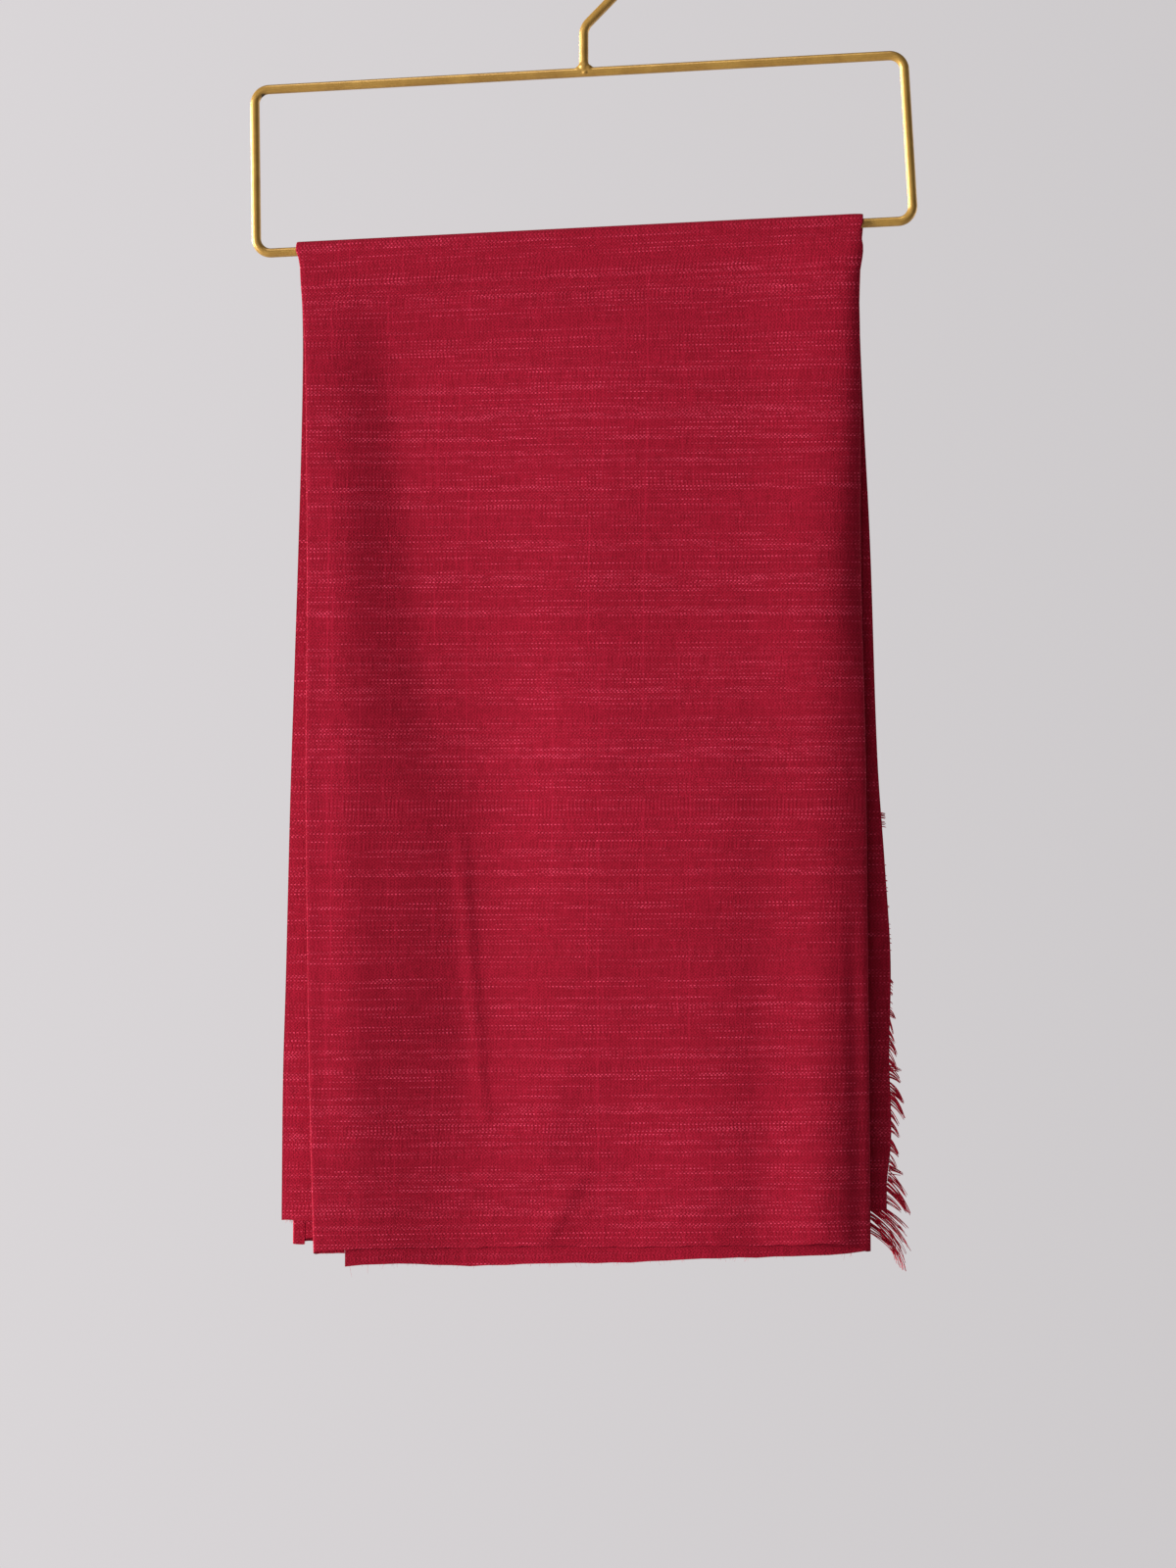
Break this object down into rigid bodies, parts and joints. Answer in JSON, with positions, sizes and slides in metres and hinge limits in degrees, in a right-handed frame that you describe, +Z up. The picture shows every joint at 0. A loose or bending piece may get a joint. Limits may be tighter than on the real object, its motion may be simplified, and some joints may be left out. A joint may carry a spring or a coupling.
{
  "type": "hijab shawl on a wire hanger",
  "caption": "Crimson slub-woven shawl hijab with a frayed fringed end, folded flat and hung over the lower bar of a gold rectangular wire hanger with a crook hook.",
  "frame": {"origin": "inside of the hook's crown, where a rail or nail carries the hanger", "axes": "+Z up, X along the hanger's width with +X to the right seen from the front, -Y towards the front of the cloth; the wire frame hangs tilted by 2 degrees about Y, right end up, and the cloth hangs plumb"},
  "size_m": [0.2969, 0.0221, 0.6049],
  "materials": {
    "crimson_cloth": "matt slub weave in crimson, with uneven brighter weft threads and a faint sheen",
    "gold_wire": "satin gold paint on steel wire, with small chips at the bends"
  },
  "bodies": {
    "root": {"outer_fold": "crimson_cloth", "inner_plies": "crimson_cloth", "frayed_fringe": "crimson_cloth", "hanger_frame": "gold_wire", "hanger_hook": "gold_wire"}
  },
  "joints": []
}
